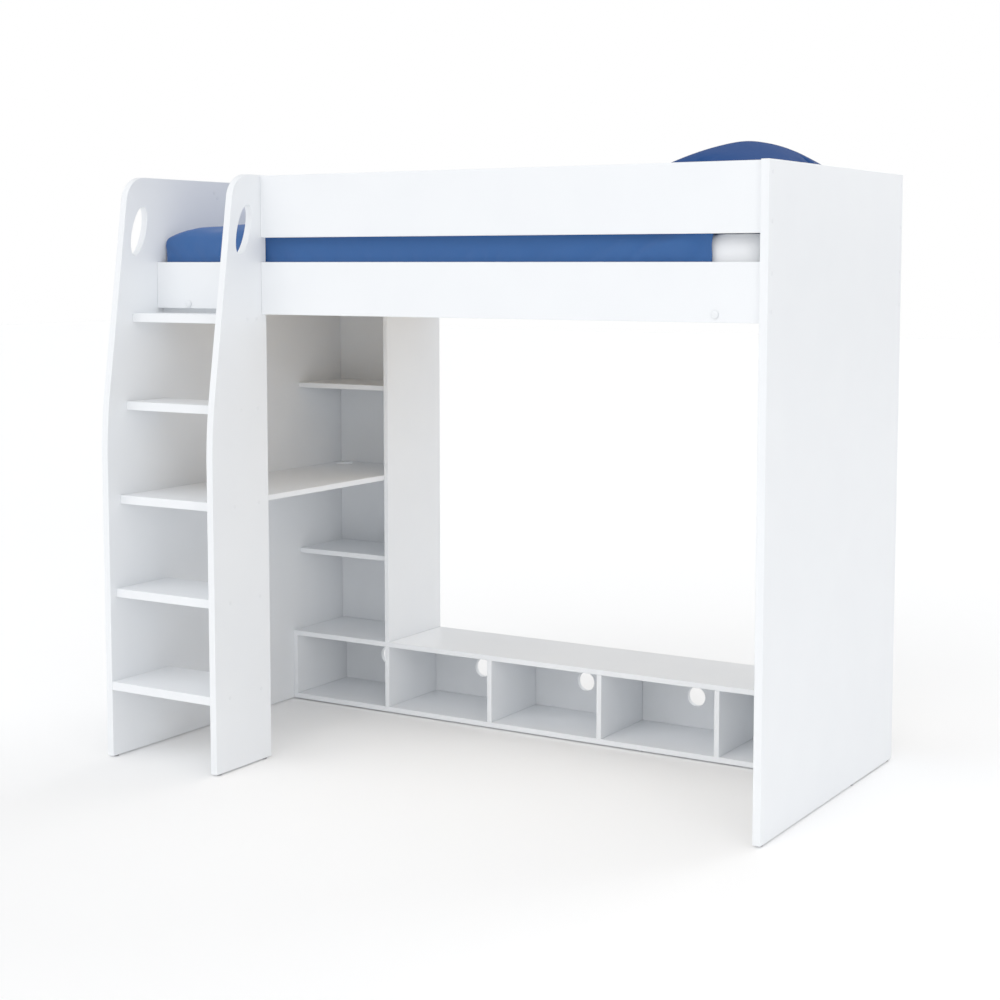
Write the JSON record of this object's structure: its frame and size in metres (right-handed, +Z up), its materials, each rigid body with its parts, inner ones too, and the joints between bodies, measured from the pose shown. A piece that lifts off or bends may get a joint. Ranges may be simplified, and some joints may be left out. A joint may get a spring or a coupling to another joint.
{
  "type": "loft bed with desk",
  "caption": "White loft bed with a side ladder, a narrow desk and bookcase under its left end, a low media shelf with cubbies, and blue bedding.",
  "frame": {"origin": "on the floor, under the middle of the bounding box of the whole piece", "axes": "+X from the ladder end to the other end, +Y from front to back, +Z up"},
  "size_m": [1.98, 1.172, 1.7769],
  "materials": {
    "white_board": "white melamine-faced board, satin, with matching edging",
    "slat_wood": "planed pine, unfinished",
    "glide_plastic": "moulded polyethylene",
    "bolt_steel": "bright zinc plated",
    "mattress_cotton": "white woven cotton",
    "duvet_cotton": "mid blue woven cotton",
    "pillow_cotton": "mid blue woven cotton"
  },
  "bodies": {
    "frame": {"base_left_glide": "glide_plastic", "base_right_glide": "glide_plastic", "batten_bolt_left": "bolt_steel", "batten_bolt_right": "bolt_steel", "bookcase_back": "white_board", "cubby_back_1": "white_board", "cubby_back_2": "white_board", "cubby_back_3": "white_board", "cubby_back_4": "white_board", "cubby_back_5": "white_board", "cubby_base": "white_board", "cubby_upright_1": "white_board", "cubby_upright_2": "white_board", "cubby_upright_3": "white_board", "cubby_upright_4": "white_board", "cubby_upright_5": "white_board", "cubby_upright_6": "white_board", "desk_top": "white_board", "ladder_bay_rail": "white_board", "ladder_front_glide": "glide_plastic", "ladder_rear_glide": "glide_plastic", "ladder_side_panel": "white_board", "left_end_panel": "white_board", "left_front_glide": "glide_plastic", "left_rear_glide": "glide_plastic", "lower_front_rail": "white_board", "lower_rear_rail": "white_board", "lower_shelf": "white_board", "media_shelf": "white_board", "right_end_panel": "white_board", "right_front_glide": "glide_plastic", "right_middle_glide": "glide_plastic", "right_rear_glide": "glide_plastic", "slat_01": "slat_wood", "slat_02": "slat_wood", "slat_03": "slat_wood", "slat_04": "slat_wood", "slat_05": "slat_wood", "slat_06": "slat_wood", "slat_07": "slat_wood", "slat_08": "slat_wood", "slat_09": "slat_wood", "slat_10": "slat_wood", "slat_11": "slat_wood", "slat_12": "slat_wood", "slat_batten_front": "white_board", "slat_batten_rear": "white_board", "tall_divider": "white_board", "tread_1": "white_board", "tread_2": "white_board", "tread_3": "white_board", "tread_4": "white_board", "tread_5": "white_board", "upper_front_rail": "white_board", "upper_rear_rail": "white_board", "upper_shelf": "white_board"},
    "mattress": {"mattress": "mattress_cotton"},
    "duvet": {"duvet": "duvet_cotton"},
    "pillow": {"pillow": "pillow_cotton"}
  },
  "joints": [
    {"name": "mattress_lift", "type": "slide", "parent": "frame", "child": "mattress", "axis": [0, 0, 1], "range_m": [0, 0.4]},
    {"name": "duvet_lift", "type": "slide", "parent": "mattress", "child": "duvet", "axis": [0, 0, 1], "range_m": [0, 0.3]},
    {"name": "pillow_lift", "type": "slide", "parent": "duvet", "child": "pillow", "axis": [0, 0, 1], "range_m": [0, 0.25]}
  ]
}
